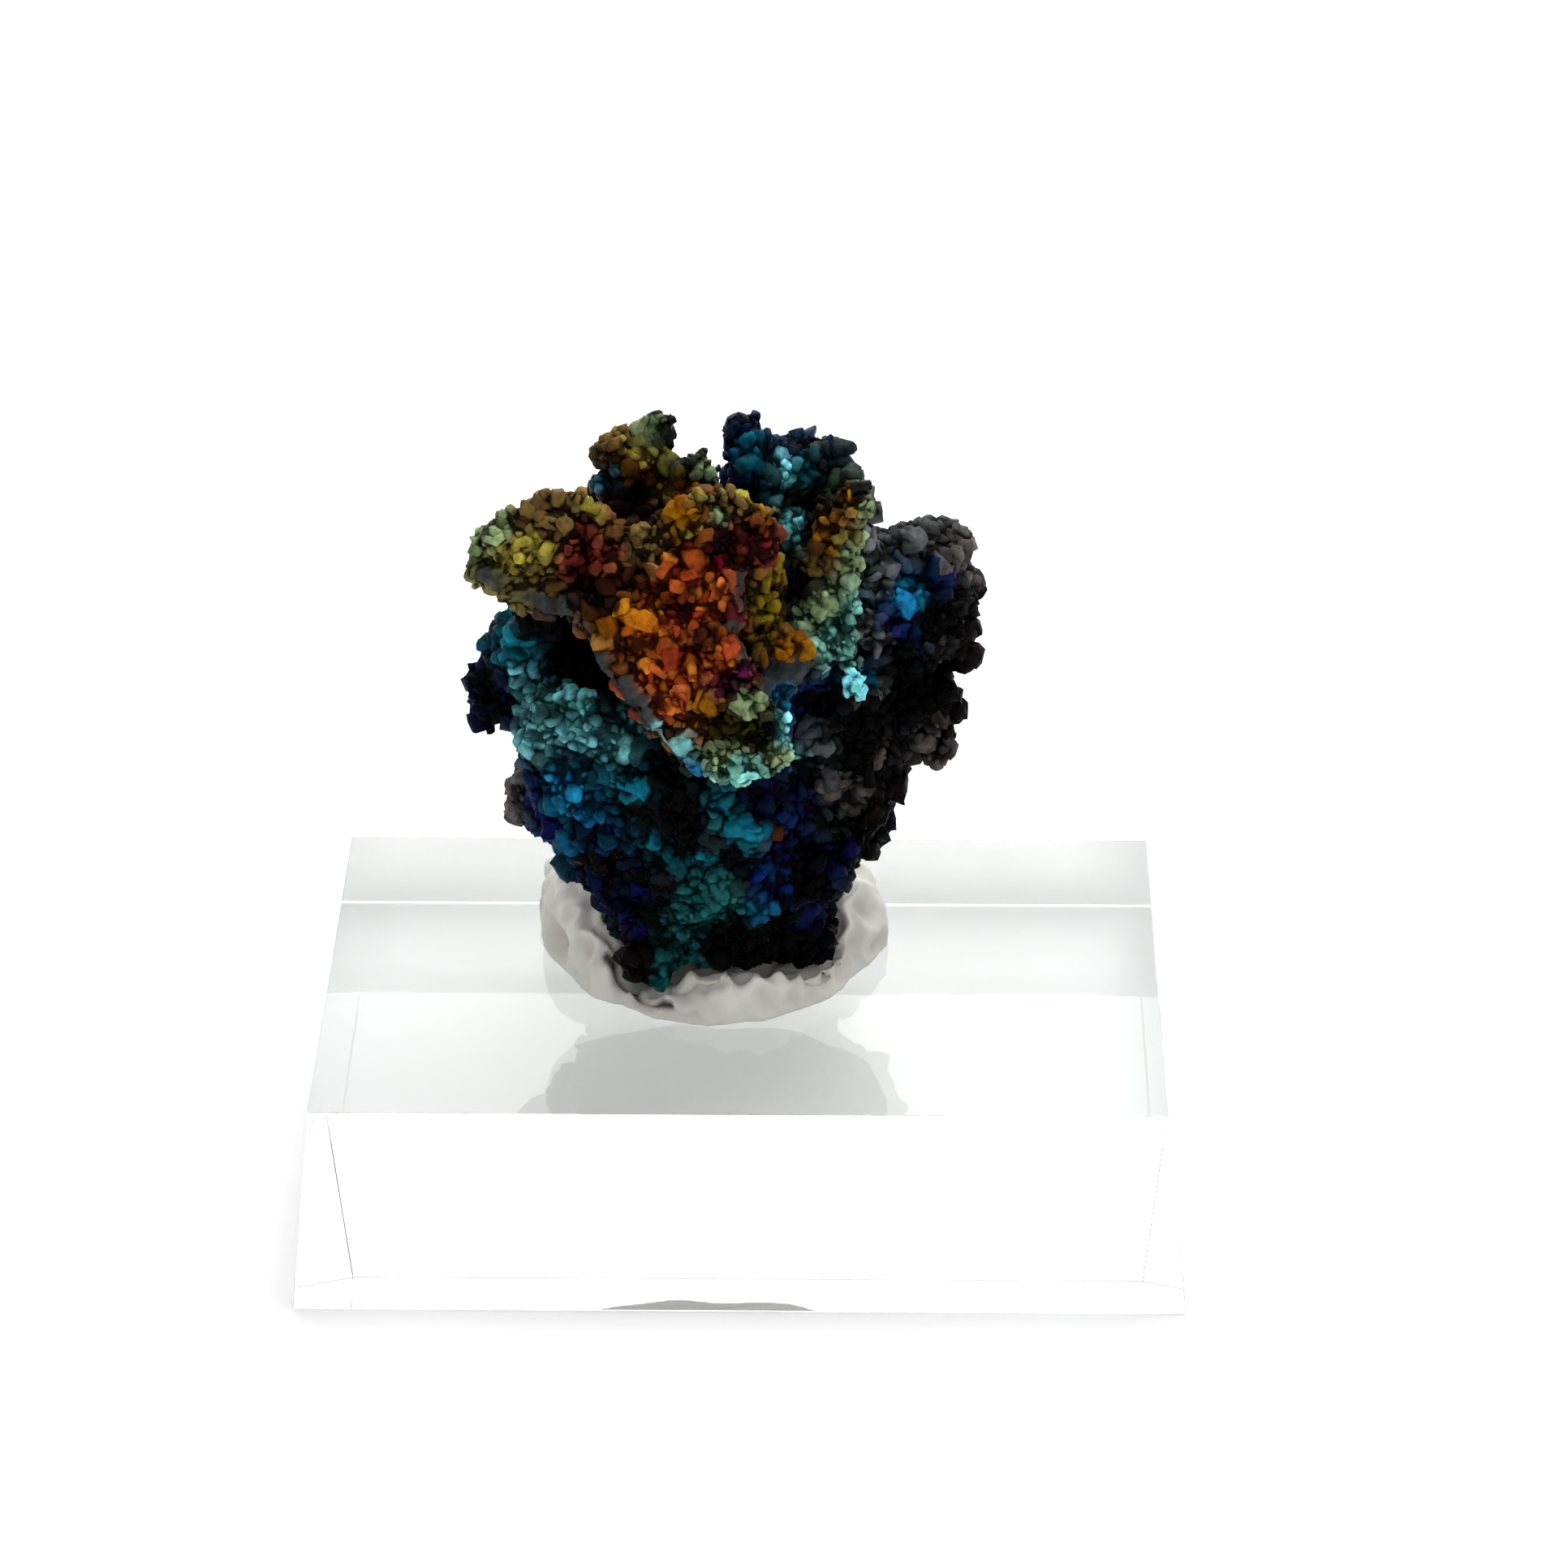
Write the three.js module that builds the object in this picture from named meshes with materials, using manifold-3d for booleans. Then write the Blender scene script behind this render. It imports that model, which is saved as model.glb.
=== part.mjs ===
// A small iridescent goethite specimen, pressed into a collar of white putty on a clear acrylic block.
// Millimetres, +Z up. The origin is the centre of the block's underside, +X runs to the right along the
// block's long side and +Y away from the viewer.
import * as THREE from "three";
import { ConvexGeometry } from "three/addons/geometries/ConvexGeometry.js";
import { ImprovedNoise } from "three/addons/math/ImprovedNoise.js";
import { MeshSurfaceSampler } from "three/addons/math/MeshSurfaceSampler.js";
import { mergeVertices } from "three/addons/utils/BufferGeometryUtils.js";
import Module from "manifold-3d";

const wasm = await Module();
wasm.setup();

// Driving dimensions of the block
const blockTop = { width: 38, depth: 23 };
const blockHeight = 10;
const blockFlare = 1; // how much further out each side stands at the bottom
const blockChamfer = 0.35;

// Driving dimensions of the putty
const puttyCentre = { x: -1.5, y: 2.0 };
// How far out and how high the collar goes, every 30 degrees anticlockwise from +X
const puttyReach = [8.0, 8.2, 7.6, 7.0, 7.6, 8.9, 7.8, 6.8, 6.5, 6.7, 6.8, 7.0];
const puttyRise = [4.4, 4.6, 4.2, 4.0, 4.6, 5.4, 5.4, 3.4, 1.1, 2.6, 3.0, 3.5];
const puttyShoulder = 0.5; // 1 is a dome, less has a steeper flank and a flatter top
const puttyDent = { depth: 0.06, grain: 3.4 }; // waves of its outline, as a share of its reach
const puttyKnead = { depth: 0.2, grain: 2.8 }; // lumps of its top, as a share of its height
const socketGap = 0.3;

// Masses of the stone, from its foot upwards, and then small ones that join them: a centre, three half
// widths and a turn in degrees
const masses = [
  { name: "foot", at: [-1.2, 0.8, 14.0], half: [5.3, 3.9, 3.1], seated: true },
  { name: "toe", at: [-4.2, -1.9, 12.3], half: [1.6, 1.8, 1.6], turn: [0, -20, 0], seated: true },
  { name: "heel", at: [2.8, -0.9, 12.7], half: [1.6, 1.8, 1.6], seated: true },
  { name: "waist", at: [-1.3, 1.0, 16.8], half: [6.6, 4.7, 3.4], seated: true },
  { name: "left bulge", at: [-9.0, 0.5, 19.3], half: [1.9, 2.2, 1.6], turn: [0, 12, 0] },
  { name: "left root", at: [-7.0, 0.6, 18.7], half: [2.4, 3.0, 2.2], turn: [0, 25, 0] },
  { name: "right waist", at: [4.0, 1.2, 18.3], half: [2.6, 3.2, 2.6] },
  { name: "belly", at: [-2.8, 0.6, 20.6], half: [7.0, 5.0, 4.2] },
  { name: "left belly", at: [-7.3, -0.6, 23.6], half: [2.8, 2.8, 2.6] },
  { name: "right flank", at: [3.8, 1.6, 21.6], half: [3.6, 4.2, 4.6] },
  { name: "hip", at: [7.5, 1.8, 22.8], half: [2.6, 2.4, 1.95], turn: [0, -32, 0] },
  { name: "back", at: [0.2, 4.4, 23.6], half: [6.0, 2.9, 5.4] },
  { name: "back left", at: [-4.5, 5.5, 25.6], half: [2.6, 2.2, 2.8] },
  { name: "back right", at: [4.3, 5.5, 26.2], half: [2.4, 2.1, 3.0], turn: [0, 15, 0] },
  { name: "back low", at: [0.4, 5.6, 20.6], half: [3.2, 2.1, 2.6] },
  { name: "back knob", at: [0.0, 6.2, 27.4], half: [2.0, 1.8, 1.8] },
  { name: "core", at: [-0.9, 2.4, 26.6], half: [6.9, 4.6, 5.8] },
  { name: "recess wall", at: [-7.6, 2.8, 25.2], half: [2.4, 2.4, 3.2] },
  { name: "low wing", at: [-11.1, 1.0, 24.2], half: [1.2, 1.4, 1.6], turn: [0, -15, 0] },
  { name: "wing tip", at: [-12.0, 1.0, 23.9], half: [0.5, 0.5, 0.4] },
  { name: "wing toe", at: [-11.5, 1.0, 23.0], half: [0.7, 0.8, 0.8] },
  { name: "high wing", at: [-10.2, 1.0, 26.4], half: [1.3, 1.7, 2.1], turn: [0, 10, 0] },
  { name: "shoulder", at: [7.4, 2.2, 27.6], half: [3.2, 3.3, 2.7] },
  { name: "spur", at: [10.0, 2.6, 25.4], half: [0.75, 0.5, 0.35] },
  { name: "shoulder block", at: [8.3, 2.4, 30.9], half: [2.4, 1.9, 1.5], turn: [0, 8, 20] },
  { name: "shoulder link", at: [6.0, 2.0, 30.2], half: [1.6, 2.0, 1.9] },
  { name: "pane root", at: [5.0, 1.6, 31.5], half: [1.1, 1.8, 2.8] },
  { name: "pane knob", at: [5.0, 2.2, 33.8], half: [1.0, 1.1, 1.3] },
  { name: "crest base", at: [2.0, 3.4, 32.3], half: [2.3, 2.0, 2.0] },
  { name: "crest shelf", at: [2.7, 3.6, 34.7], half: [2.1, 1.2, 1.15] },
  { name: "crest knob", at: [0.2, 3.6, 35.6], half: [1.2, 1.0, 1.5] },
  { name: "tower base", at: [-4.6, 0.7, 33.6], half: [1.9, 1.7, 2.0] },
  { name: "tower", at: [-5.2, 0.5, 35.7], half: [1.25, 0.95, 2.1] },
  { name: "tower spike", at: [-3.5, 0.5, 37.15], half: [0.72, 0.7, 1.9] },
  { name: "tower link", at: [-4.2, 0.6, 35.4], half: [0.8, 0.8, 1.4] },
  { name: "ridge", at: [-2.1, 0.3, 35.5], half: [1.4, 1.0, 1.3], turn: [0, 25, 0] },
  { name: "ridge root", at: [-1.6, -0.6, 33.8], half: [1.7, 1.6, 1.6] },
  { name: "arm", at: [-8.4, -2.4, 33.2], half: [3.0, 1.2, 1.4], turn: [0, 4, 8] },
  { name: "face root", at: [-2.4, -2.4, 31.4], half: [4.4, 2.2, 3.4] },
  { name: "face foot", at: [-0.4, -4.2, 26.0], half: [2.6, 2.4, 2.8], turn: [20, 0, 0] },
  { name: "inner wall", at: [1.4, -2.4, 31.0], half: [1.0, 1.0, 1.9] },
  { name: "lip", at: [2.3, -3.7, 29.5], half: [1.35, 1.0, 0.7] },
  { name: "lip root", at: [2.0, -2.2, 28.0], half: [2.0, 1.8, 1.3] },
  { name: "tower cap", at: [-4.95, 0.5, 36.9], half: [1.05, 0.8, 0.95] },
  { name: "crest stem", at: [0.2, 3.2, 33.9], half: [1.1, 1.2, 1.5] },
  { name: "crest front", at: [1.8, 2.9, 34.0], half: [1.5, 1.0, 1.2] },
  { name: "crest end", at: [3.5, 3.0, 33.8], half: [1.2, 1.2, 1.1] },
  { name: "arm underside", at: [-10.5, -2.0, 31.9], half: [1.4, 0.9, 0.95], turn: [0, 35, 0] },
  { name: "recess top", at: [-8.9, 0.4, 28.6], half: [1.4, 1.6, 1.8] },
];
const massRelief = { most: 0.85, share: 0.3 }; // dents and swellings, in mm and as a share of a mass's size
const massGrain = 0.42; // swellings for each millimetre
const massCorner = 2.7; // 2 is an ellipsoid, more is closer to a rounded block
const massFacets = 0.62; // subdivisions of a mass for each millimetre of its size

// Crusts that stand proud of the masses. An outline lies in the crust's own plane, right and up.
const crusts = [
  {
    name: "golden face",
    at: [-3.0, -5.0, 32.4],
    lean: 22,
    turn: 0,
    thickness: 1.6,
    bow: 1.2,
    outline: [
      [-8.8, 0.7], [-8.5, 2.4], [-8.0, 3.2], [-7.2, 3.8], [-5.4, 4.4], [-3.9, 4.6], [-2.9, 4.2], [-2.2, 3.3],
      [-0.7, 3.1], [0.2, 4.1], [1.4, 4.8], [2.9, 4.7], [4.2, 4.0], [4.9, 3.3], [5.0, 1.5], [3.5, 0.9],
      [3.6, -2.2], [4.1, -3.3], [4.8, -4.3], [5.5, -6.0], [5.5, -6.8], [4.8, -7.9], [3.7, -8.2], [2.2, -8.1],
      [1.1, -7.6], [-0.7, -6.3], [-2.6, -3.7], [-4.1, -1.1], [-5.4, -0.9], [-6.7, -0.8], [-7.7, 0.0],
    ],
  },
  {
    name: "green pane",
    at: [4.5, -1.6, 31.4],
    lean: 12,
    turn: -24,
    thickness: 1.3,
    bow: 0.3,
    outline: [
      [0.1, 4.8], [0.8, 4.2], [0.6, 2.5], [0.5, 0.7], [0.65, -1.5], [0.6, -3.0], [1.0, -4.9], [-0.1, -3.7],
      [-0.6, -2.5], [-1.2, -2.1], [-1.8, -1.2], [-2.0, 0.1], [-1.9, 1.5], [-1.6, 2.9], [-0.9, 4.0],
    ],
  },
];
const crustRelief = { front: 0.44, back: 0.18, grain: 0.75 };
const crustFacets = 1.1; // facets for each two millimetres

// Nodules that grow from everything above
const noduleCount = 64;
const noduleSpacing = { low: 2.3, high: 1.3 };
const noduleChange = 30; // the height above which they crowd
const noduleHalf = { least: 0.5, most: 0.95 };
const noduleSink = 0.2; // how far a nodule's centre lies under the surface, as a share of its half width
const noduleFloor = 15.5; // none lower, where the putty grips the stone
const noduleTries = 6000;
const noduleSeed = 11;

const noise = new ImprovedNoise();
const noiseStep = 7.3; // shifts the noise from one mass or crust to the next
const beyond = 60; // a size that reaches past everything

// A closed geometry as a solid that can be joined and cut
function solidOf(geometry) {
  const bare = geometry.index ? geometry.toNonIndexed() : geometry.clone();
  for (const extra of ["normal", "uv"]) bare.deleteAttribute(extra);
  const merged = mergeVertices(bare, 1e-4);
  return new wasm.Manifold(
    new wasm.Mesh({
      numProp: 3,
      vertProperties: merged.attributes.position.array,
      triVerts: new Uint32Array(merged.index.array),
    }),
  );
}

// A solid back as a geometry
function geometryOf(solid) {
  const mesh = solid.getMesh();
  const geometry = new THREE.BufferGeometry();
  geometry.setAttribute("position", new THREE.BufferAttribute(new Float32Array(mesh.vertProperties), 3));
  geometry.setIndex(new THREE.BufferAttribute(new Uint32Array(mesh.triVerts), 1));
  geometry.computeVertexNormals();
  return geometry;
}

function turnOf([x, y, z] = [0, 0, 0]) {
  const rad = THREE.MathUtils.degToRad;
  return new THREE.Matrix4().makeRotationFromEuler(new THREE.Euler(rad(x), rad(y), rad(z)));
}

// Moves every vertex of a geometry by change(point)
function reshape(geometry, change) {
  const position = geometry.attributes.position;
  const point = new THREE.Vector3();
  for (let i = 0; i < position.count; i++) {
    change(point.fromBufferAttribute(position, i));
    position.setXYZ(i, point.x, point.y, point.z);
  }
  return geometry;
}

// One swollen, dented mass of stone. grow makes it larger all round.
function mass({ at, half, turn }, index, grow = 0) {
  const size = (half[0] + half[1] + half[2]) / 3;
  const ball = new THREE.IcosahedronGeometry(1, Math.round(THREE.MathUtils.clamp(size * massFacets, 1, 3)));
  const shift = index * noiseStep;
  const relief = Math.min(massRelief.most / size, massRelief.share);
  reshape(ball, (p) => {
    const corner = [p.x, p.y, p.z].reduce((sum, v) => sum + Math.abs(v) ** massCorner, 0) ** (1 / massCorner);
    const q = p.clone().multiplyScalar(size * massGrain);
    const coarse = noise.noise(q.x + shift, q.y, q.z);
    const fine = noise.noise(2 * q.x, 2 * q.y + shift, 2 * q.z) / 2;
    p.multiplyScalar((1 + relief * (coarse + fine)) / corner);
  });
  ball.scale(half[0] + grow, half[1] + grow, half[2] + grow);
  ball.applyMatrix4(turnOf(turn));
  ball.translate(...at);
  return solidOf(ball);
}

// One crust: a bowed, lumpy slab trimmed to an outline
function crust({ at, lean, turn, thickness, bow, outline }, index) {
  const points = outline.map(([x, y]) => new THREE.Vector2(x, y));
  const trim = new THREE.ExtrudeGeometry(new THREE.Shape(points), { depth: beyond, bevelEnabled: false });
  trim.translate(0, 0, -beyond / 2);
  const reach = Math.max(...outline.flat().map(Math.abs)) + 1;
  const steps = Math.round(reach * crustFacets);
  const slab = new THREE.BoxGeometry(2 * reach, 2 * reach, thickness, steps, steps, 1);
  reshape(slab, (p) => {
    const sag = (bow * (p.x * p.x + 0.4 * p.y * p.y)) / (reach * reach);
    const layer = index * noiseStep + Math.sign(p.z);
    const lump = noise.noise(p.x * crustRelief.grain, p.y * crustRelief.grain, layer);
    p.z += lump * (p.z > 0 ? crustRelief.front : crustRelief.back) - sag - thickness / 2;
  });
  const made = geometryOf(solidOf(slab).intersect(solidOf(trim)));
  made.rotateX(THREE.MathUtils.degToRad(90 - lean)); // stands it up, facing the viewer
  made.rotateZ(THREE.MathUtils.degToRad(turn));
  made.translate(...at);
  return solidOf(made);
}

// Rounded nodules all over a solid, kept apart from each other
function nodules(stone) {
  const random = THREE.MathUtils.seededRandom;
  random(noduleSeed);
  const sampler = new MeshSurfaceSampler(new THREE.Mesh(geometryOf(stone)));
  sampler.setRandomGenerator(() => random()).build();
  const place = new THREE.Vector3();
  const out = new THREE.Vector3();
  const kept = [];
  const made = [];
  for (let tries = 0; tries < noduleTries && made.length < noduleCount; tries++) {
    sampler.sample(place, out);
    const apart = place.z > noduleChange ? noduleSpacing.high : noduleSpacing.low;
    if (place.z < noduleFloor || kept.some((k) => k.distanceTo(place) < apart)) continue;
    kept.push(place.clone());
    const half = THREE.MathUtils.lerp(noduleHalf.least, noduleHalf.most, random());
    const ball = new THREE.IcosahedronGeometry(half, 0);
    ball.scale(1, 0.8 + 0.4 * random(), 0.8 + 0.4 * random());
    ball.applyMatrix4(turnOf([360 * random(), 360 * random(), 0]));
    place.addScaledVector(out, -noduleSink * half);
    ball.translate(place.x, place.y, place.z);
    made.push(solidOf(ball));
  }
  return made;
}

// The main body alone, without crumbs or closed hollows
function outerShell(solid) {
  return solid.decompose().reduce((a, b) => (a.volume() > b.volume() ? a : b));
}

function makeStone() {
  const body = wasm.Manifold.union([...masses.map((m, i) => mass(m, i)), ...crusts.map(crust)]);
  return outerShell(body.add(wasm.Manifold.union(nodules(body))));
}

// The block: a frustum with every edge chamfered
function makeBlock() {
  const points = [];
  for (const top of [0, 1]) {
    const halfX = blockTop.width / 2 + (top ? 0 : blockFlare);
    const halfY = blockTop.depth / 2 + (top ? 0 : blockFlare);
    const z = top ? blockHeight : 0;
    const inward = top ? -blockChamfer : blockChamfer;
    for (const sx of [-1, 1]) {
      for (const sy of [-1, 1]) {
        points.push(new THREE.Vector3(sx * (halfX - blockChamfer), sy * (halfY - blockChamfer), z));
        points.push(new THREE.Vector3(sx * halfX, sy * (halfY - blockChamfer), z + inward));
        points.push(new THREE.Vector3(sx * (halfX - blockChamfer), sy * halfY, z + inward));
      }
    }
  }
  return new ConvexGeometry(points);
}

// Reads a list of values that are spaced evenly round the putty
function roundPutty(values, angle) {
  const turn = (THREE.MathUtils.euclideanModulo(angle, 2 * Math.PI) / (2 * Math.PI)) * values.length;
  const low = Math.floor(turn) % values.length;
  const next = values[(low + 1) % values.length];
  return THREE.MathUtils.lerp(values[low], next, THREE.MathUtils.smoothstep(turn - low, 0, 1));
}

// The putty: a pressed, kneaded collar, flat underneath, with a socket where the stone is seated
function makePutty() {
  const dome = new THREE.SphereGeometry(1, 48, 16);
  dome.rotateX(Math.PI / 2);
  reshape(dome, (p) => {
    const angle = Math.atan2(p.y, p.x);
    const [x, y] = [Math.cos(angle), Math.sin(angle)];
    const dent = 1 + puttyDent.depth * noise.noise(puttyDent.grain * x, puttyDent.grain * y, noiseStep);
    const lump = noise.noise(puttyKnead.grain * p.x, puttyKnead.grain * p.y, -noiseStep);
    const knead = 1 + puttyKnead.depth * lump;
    const reach = roundPutty(puttyReach, angle) * dent * Math.hypot(p.x, p.y);
    const rise = roundPutty(puttyRise, angle) * knead * Math.sign(p.z) * Math.abs(p.z) ** puttyShoulder;
    p.set(puttyCentre.x + reach * x, puttyCentre.y + reach * y, blockHeight + rise);
  });
  const under = new THREE.BoxGeometry(beyond, beyond, beyond);
  under.translate(0, 0, blockHeight - beyond / 2);
  const seats = masses.map((m, i) => (m.seated ? mass(m, i, socketGap) : null)).filter(Boolean);
  return solidOf(dome).subtract(solidOf(under)).subtract(wasm.Manifold.union(seats));
}

function named(name, geometry, material) {
  const mesh = new THREE.Mesh(geometry, new THREE.MeshStandardMaterial(material));
  mesh.name = name;
  return mesh;
}

const stoneFinish = { color: 0x6b3a22, roughness: 0.45, metalness: 0.4 };
const puttyFinish = { color: 0xe6e4dc, roughness: 0.7, metalness: 0 };
const acrylicFinish = { color: 0xf4f8f6, roughness: 0.03, metalness: 0, transparent: true, opacity: 0.3 };

const group = new THREE.Group();
group.add(named("goethite", geometryOf(makeStone()), stoneFinish));
group.add(named("putty", geometryOf(makePutty()), puttyFinish));
group.add(named("acrylic_block", makeBlock(), acrylicFinish));
export default group;
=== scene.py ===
# A small iridescent goethite specimen, held by a collar of white putty on a clear acrylic block.
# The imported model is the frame, and this script gives it its looks.
# Sizes and places in the values below are in millimetres, the camera's angles in degrees, light powers
# in watts and the scales of textures per metre.
import math

import bmesh
import bpy
import numpy as np
from mathutils import Matrix, Vector, noise
from mathutils.bvhtree import BVHTree


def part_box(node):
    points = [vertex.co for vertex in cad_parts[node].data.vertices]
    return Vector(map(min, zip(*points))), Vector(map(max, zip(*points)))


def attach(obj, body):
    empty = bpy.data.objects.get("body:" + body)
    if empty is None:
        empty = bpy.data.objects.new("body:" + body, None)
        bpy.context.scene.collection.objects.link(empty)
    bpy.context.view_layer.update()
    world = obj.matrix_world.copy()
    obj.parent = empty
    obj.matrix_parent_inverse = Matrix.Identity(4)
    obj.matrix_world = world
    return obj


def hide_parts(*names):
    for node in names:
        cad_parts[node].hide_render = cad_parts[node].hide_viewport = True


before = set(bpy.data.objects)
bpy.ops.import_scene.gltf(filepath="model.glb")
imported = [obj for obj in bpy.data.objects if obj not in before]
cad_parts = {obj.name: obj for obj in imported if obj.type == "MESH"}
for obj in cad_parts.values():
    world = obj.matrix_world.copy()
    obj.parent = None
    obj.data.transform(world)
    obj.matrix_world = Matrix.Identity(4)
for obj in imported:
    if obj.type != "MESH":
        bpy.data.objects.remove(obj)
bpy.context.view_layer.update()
mm = 0.001
mergeDistance = 0.0005


def say(text):
    print(f"stage: {text}", flush=True)


def link(name, mesh):
    obj = bpy.data.objects.new(name, mesh)
    bpy.context.scene.collection.objects.link(obj)
    return obj


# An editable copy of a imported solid, with its loose triangles joined
def nodeCopy(name, nodeName):
    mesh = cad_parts[nodeName].data.copy()
    mesh.name = name
    mesh.materials.clear()
    work = bmesh.new()
    work.from_mesh(mesh)
    bmesh.ops.remove_doubles(work, verts=work.verts, dist=mergeDistance * mm)
    work.to_mesh(mesh)
    work.free()
    return link(name, mesh)


# Makes what the modifiers give the object's own plain mesh
def bake(obj):
    graph = bpy.context.evaluated_depsgraph_get()
    mesh = bpy.data.meshes.new_from_object(obj.evaluated_get(graph))
    old = obj.data
    obj.modifiers.clear()
    obj.data = mesh
    bpy.data.meshes.remove(old)
    return mesh


# Covers the object in an even skin of small faces, then softens it
def remesh(obj, voxel, smoothing):
    skin = obj.modifiers.new("remesh", "REMESH")
    skin.mode = "VOXEL"
    skin.voxel_size = voxel * mm
    smooth = obj.modifiers.new("smooth", "SMOOTH")
    smooth.iterations = smoothing
    smooth.factor = 0.5
    return bake(obj)


def readPoints(mesh):
    points = np.empty(len(mesh.vertices) * 3)
    mesh.vertices.foreach_get("co", points)
    return points.reshape(-1, 3)


def readNormals(mesh):
    normals = np.empty(len(mesh.vertices) * 3)
    mesh.vertices.foreach_get("normal", normals)
    return normals.reshape(-1, 3)


def writePoints(mesh, points):
    mesh.vertices.foreach_set("co", points.ravel())
    mesh.update()


def smoothFaces(mesh):
    mesh.polygons.foreach_set("use_smooth", [True] * len(mesh.polygons))


def storeValues(mesh, name, values):
    layer = mesh.attributes.new(name, "FLOAT", "POINT")
    layer.data.foreach_set("value", np.asarray(values, dtype=np.float32))


# Smooth noise at each point, about 0 on average. The seed moves the pattern.
def noiseField(points, size, seed, octaves=3):
    shift = Vector((seed, -seed, seed * 0.5))
    scaled = [Vector(point) / (size * mm) + shift for point in points]
    return np.array([noise.fractal(point, 1.0, 2.0, octaves) for point in scaled])


def newMaterial(name):
    material = bpy.data.materials.new(name)
    material.use_nodes = True
    return material, material.node_tree, material.node_tree.nodes["Principled BSDF"]


# Adds a node to a material or to Geometry Nodes. An input is given a socket to read, or a value.
def addNode(tree, kind, inputs=None, **settings):
    node = tree.nodes.new(kind)
    for key, value in settings.items():
        setattr(node, key, value)
    for key, value in (inputs or {}).items():
        if isinstance(value, bpy.types.NodeSocket):
            tree.links.new(value, node.inputs[key])
        else:
            node.inputs[key].default_value = value
    return node


def mathNode(tree, operation, first, second):
    return addNode(tree, "ShaderNodeMath", {0: first, 1: second}, operation=operation).outputs[0]


def scaleNode(tree, vector, scale):
    return addNode(tree, "ShaderNodeVectorMath", {0: vector, "Scale": scale}, operation="SCALE").outputs[0]


def rangeNode(tree, value, source, target, **settings):
    inputs = {"Value": value, "From Min": source[0], "From Max": source[1]}
    inputs.update({"To Min": target[0], "To Max": target[1]})
    return addNode(tree, "ShaderNodeMapRange", inputs, **settings).outputs[0]


def cloudNode(tree, place, scale, detail):
    inputs = {"Vector": place, "Scale": scale, "Detail": detail}
    return addNode(tree, "ShaderNodeTexNoise", inputs).outputs["Fac"]


def attributeNode(tree, name, output="Fac"):
    return addNode(tree, "ShaderNodeAttribute", attribute_name=name).outputs[output]


def mixNode(tree, share, first, second):
    inputs = {"Factor": share, "A": first, "B": second}
    return addNode(tree, "ShaderNodeMix", inputs, data_type="RGBA").outputs["Result"]


cameraValues = {
    "pitch": 31.561,
    "yaw": -1.084,
    "roll": -0.323,
    "focalPixels": 6534.8,
    "photoPixels": 1932,
    "target": (1.923, 0.0, 20.078),
    "distance": 237.93,
    "sensor": 36.0,
    "clipStart": 10.0,
}


# Turned by pitch, yaw and roll about the target, with the lens in pixels of the photo's frame
def makeCamera(values):
    pitch, yaw, roll = (math.radians(values[key]) for key in ("pitch", "yaw", "roll"))
    forward = Vector((math.sin(yaw) * math.cos(pitch), math.cos(yaw) * math.cos(pitch), -math.sin(pitch)))
    level = Vector((math.cos(yaw), -math.sin(yaw), 0))
    steep = level.cross(forward)
    right = level * math.cos(roll) + steep * math.sin(roll)
    up = steep * math.cos(roll) - level * math.sin(roll)
    eye = (Vector(values["target"]) - forward * values["distance"]) * mm
    camera = bpy.data.cameras.new("camera")
    obj = link("camera", camera)
    rows = [(right[i], up[i], -forward[i], eye[i]) for i in range(3)]
    obj.matrix_world = Matrix((*rows, (0, 0, 0, 1)))
    camera.sensor_width = values["sensor"]
    camera.lens = values["focalPixels"] / values["photoPixels"] * values["sensor"]
    camera.clip_start = values["clipStart"] * mm
    bpy.context.scene.camera = obj


lightValues = {
    "exposure": 0.0,
    "worldStrength": 0.65,
    "worldColour": (1.0, 1.0, 1.0),
    "aim": (0.0, 0.0, 20.0),
    "lights": {  # place, size and power
        "key": ((60.0, 30.0, 240.0), 80.0, 0.24),
        "top": ((0.0, 110.0, 260.0), 160.0, 0.1),
        "backdrop": ((0.0, 420.0, 270.0), 500.0, 1.4),
    },
    "floorHalf": 900.0,
    "floorDrop": 0.05,
    "floorColour": (0.9, 0.9, 0.9),
    "floorRoughness": 0.6,
    "floorGlow": 0.19,
}


def addLight(name, place, size, power, aim):
    light = bpy.data.lights.new(name, "AREA")
    light.size = size * mm
    light.energy = power
    obj = link(name, light)
    obj.location = Vector(place) * mm
    obj.rotation_mode = "QUATERNION"
    obj.rotation_quaternion = (Vector(aim) * mm - obj.location).to_track_quat("-Z", "Y")


def makeStage(values):
    scene = bpy.context.scene
    scene.view_settings.view_transform = "Standard"
    scene.view_settings.exposure = values["exposure"]
    world = bpy.data.worlds.new("world")
    scene.world = world
    world.use_nodes = True
    background = world.node_tree.nodes["Background"]
    background.inputs["Color"].default_value = (*values["worldColour"], 1)
    background.inputs["Strength"].default_value = values["worldStrength"]
    for name, (place, size, power) in values["lights"].items():
        addLight(name, place, size, power, values["aim"])
    half = values["floorHalf"] * mm
    mesh = bpy.data.meshes.new("floor")
    corners = [(-half, -half, 0), (half, -half, 0), (half, half, 0), (-half, half, 0)]
    mesh.from_pydata(corners, [], [(0, 1, 2, 3)])
    floor = link("floor", mesh)
    material, _, shader = newMaterial("floor")
    shader.inputs["Base Color"].default_value = (*values["floorColour"], 1)
    shader.inputs["Roughness"].default_value = values["floorRoughness"]
    shader.inputs["Emission Color"].default_value = (1, 1, 1, 1)
    shader.inputs["Emission Strength"].default_value = values["floorGlow"]
    mesh.materials.append(material)
    floor.location.z = -values["floorDrop"] * mm
    say("the lights and the floor are set")


acrylicValues = {
    "flatness": 0.98,  # how square to an axis a large face stands, at least
    "edgeRadius": 0.06,
    "edgeSteps": 2,
    "ior": 1.49,
    "roughness": 0.015,
    "colour": (0.93, 0.945, 0.935),
}


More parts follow.
